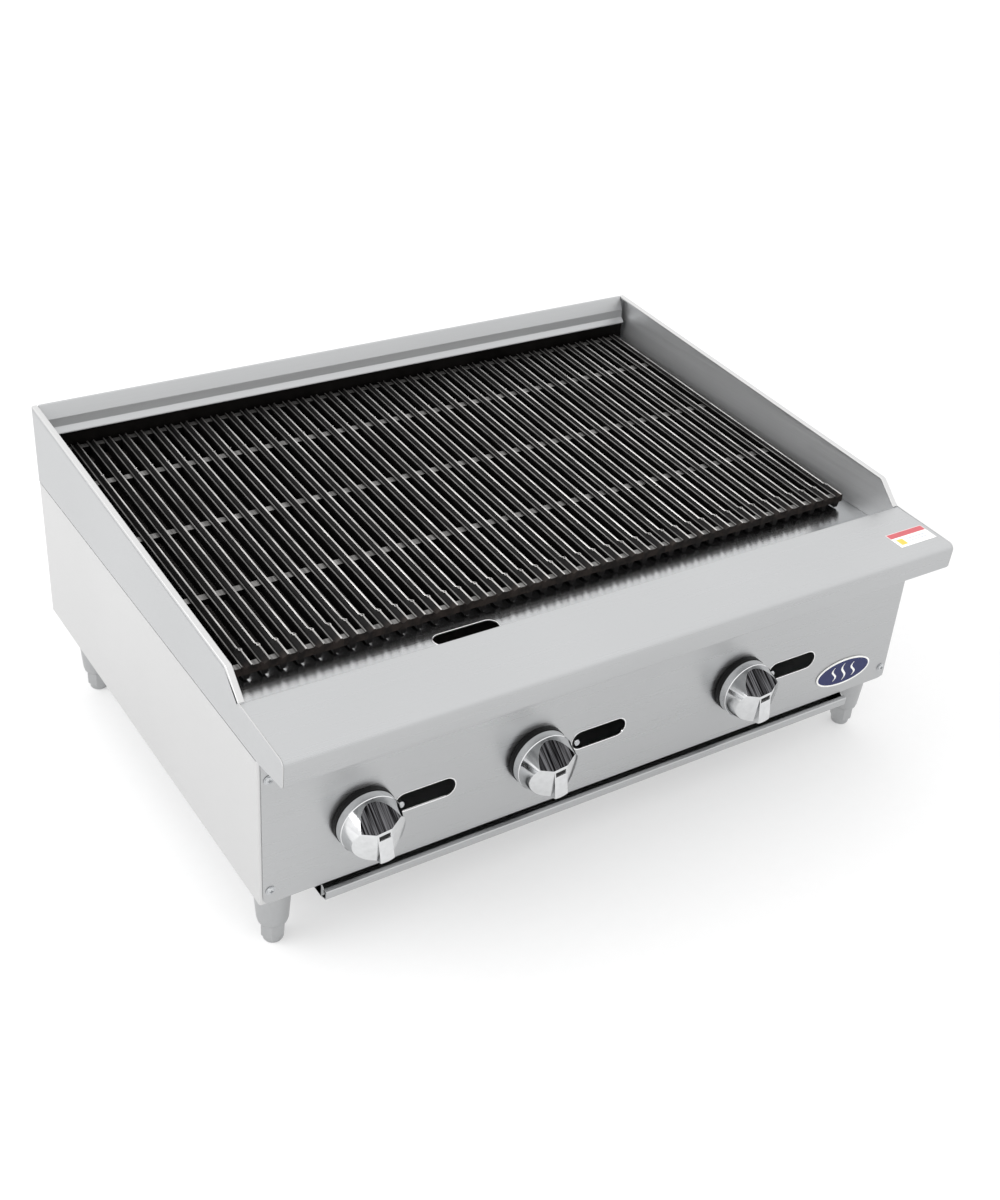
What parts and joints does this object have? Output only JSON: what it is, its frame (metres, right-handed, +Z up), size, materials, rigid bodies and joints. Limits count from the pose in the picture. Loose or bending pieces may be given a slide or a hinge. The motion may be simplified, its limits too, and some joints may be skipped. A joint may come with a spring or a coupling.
{
  "type": "countertop charbroiler grill",
  "caption": "Countertop gas charbroiler with lift-off cast-iron grates, front grease trough and ledge, turning knobs, a sliding drip tray and adjustable feet.",
  "frame": {"origin": "middle of the footprint on the worktop, under the feet", "axes": "+X to the right as seen by the cook, +Y to the back, +Z up; the cook stands at -Y"},
  "size_m": [0.914, 0.702, 0.386],
  "materials": {
    "stainless_sheet": "brushed",
    "galvanised_sheet": "matt galvanised",
    "nickel_plate": "satin plated casting",
    "steel_pipe": "matt",
    "brass": "as machined",
    "cast_iron": "seasoned casting",
    "radiant_iron": "raw casting",
    "black_ring": "matt",
    "badge_enamel": "gloss enamel",
    "screw_steel": "polished",
    "knob_chrome": "satin chrome",
    "stem_steel": "turned"
  },
  "bodies": {
    "root": {"side_panel_left": "stainless_sheet", "side_panel_right": "stainless_sheet", "side_splash_left": "stainless_sheet", "side_splash_right": "stainless_sheet", "back_splash": "stainless_sheet", "rear_panel": "galvanised_sheet", "base_frame": "galvanised_sheet", "control_panel": "stainless_sheet", "front_ledge": "stainless_sheet", "grease_trough": "stainless_sheet", "firebox": "galvanised_sheet", "grate_support_front": "galvanised_sheet", "grate_support_rear": "galvanised_sheet", "tray_rail_left": "galvanised_sheet", "tray_rail_right": "galvanised_sheet", "gas_manifold": "steel_pipe", "gas_inlet": "brass", "gas_valve_left": "brass", "burner_left": "cast_iron", "pilot_left": "brass", "radiant_left": "radiant_iron", "knob_bezel_left": "black_ring", "gas_valve_middle": "brass", "burner_middle": "cast_iron", "pilot_middle": "brass", "radiant_middle": "radiant_iron", "knob_bezel_middle": "black_ring", "gas_valve_right": "brass", "burner_right": "cast_iron", "pilot_right": "brass", "radiant_right": "radiant_iron", "knob_bezel_right": "black_ring", "panel_screw_left_low": "screw_steel", "panel_screw_left_high": "screw_steel", "panel_screw_right_low": "screw_steel", "panel_screw_right_high": "screw_steel", "badge": "badge_enamel", "leg_front_left": "nickel_plate", "leg_front_right": "nickel_plate", "leg_rear_left": "nickel_plate", "leg_rear_right": "nickel_plate"},
    "knob_left_body": {"knob_left": "knob_chrome", "valve_stem_left": "stem_steel"},
    "knob_middle_body": {"knob_middle": "knob_chrome", "valve_stem_middle": "stem_steel"},
    "knob_right_body": {"knob_right": "knob_chrome", "valve_stem_right": "stem_steel"},
    "drip_tray_body": {"drip_tray": "stainless_sheet"},
    "grate_1_body": {"grate_1": "cast_iron"},
    "grate_2_body": {"grate_2": "cast_iron"},
    "grate_3_body": {"grate_3": "cast_iron"},
    "grate_4_body": {"grate_4": "cast_iron"},
    "grate_5_body": {"grate_5": "cast_iron"},
    "grate_6_body": {"grate_6": "cast_iron"},
    "foot_front_left_body": {"foot_front_left": "nickel_plate"},
    "foot_front_right_body": {"foot_front_right": "nickel_plate"},
    "foot_rear_left_body": {"foot_rear_left": "nickel_plate"},
    "foot_rear_right_body": {"foot_rear_right": "nickel_plate"}
  },
  "joints": [
    {"name": "knob_left_turn", "type": "hinge", "parent": "root", "child": "knob_left_body", "pos_m": [-0.3355, -0.3035, 0.164], "axis": [0, -1, 0], "range_deg": [0, 90]},
    {"name": "knob_middle_turn", "type": "hinge", "parent": "root", "child": "knob_middle_body", "pos_m": [-0.112, -0.3035, 0.164], "axis": [0, -1, 0], "range_deg": [0, 90]},
    {"name": "knob_right_turn", "type": "hinge", "parent": "root", "child": "knob_right_body", "pos_m": [0.188, -0.3035, 0.164], "axis": [0, -1, 0], "range_deg": [0, 90]},
    {"name": "drip_tray_slide", "type": "slide", "parent": "root", "child": "drip_tray_body", "axis": [0, -1, 0], "range_m": [0, 0.48]},
    {"name": "grate_1_lift", "type": "slide", "parent": "root", "child": "grate_1_body", "axis": [0, 0, 1], "range_m": [0, 0.12]},
    {"name": "grate_2_lift", "type": "slide", "parent": "root", "child": "grate_2_body", "axis": [0, 0, 1], "range_m": [0, 0.12]},
    {"name": "grate_3_lift", "type": "slide", "parent": "root", "child": "grate_3_body", "axis": [0, 0, 1], "range_m": [0, 0.12]},
    {"name": "grate_4_lift", "type": "slide", "parent": "root", "child": "grate_4_body", "axis": [0, 0, 1], "range_m": [0, 0.12]},
    {"name": "grate_5_lift", "type": "slide", "parent": "root", "child": "grate_5_body", "axis": [0, 0, 1], "range_m": [0, 0.12]},
    {"name": "grate_6_lift", "type": "slide", "parent": "root", "child": "grate_6_body", "axis": [0, 0, 1], "range_m": [0, 0.12]},
    {"name": "foot_front_left_adjust", "type": "slide", "parent": "root", "child": "foot_front_left_body", "axis": [0, 0, -1], "range_m": [0, 0.022]},
    {"name": "foot_front_right_adjust", "type": "slide", "parent": "root", "child": "foot_front_right_body", "axis": [0, 0, -1], "range_m": [0, 0.022]},
    {"name": "foot_rear_left_adjust", "type": "slide", "parent": "root", "child": "foot_rear_left_body", "axis": [0, 0, -1], "range_m": [0, 0.022]},
    {"name": "foot_rear_right_adjust", "type": "slide", "parent": "root", "child": "foot_rear_right_body", "axis": [0, 0, -1], "range_m": [0, 0.022]}
  ]
}
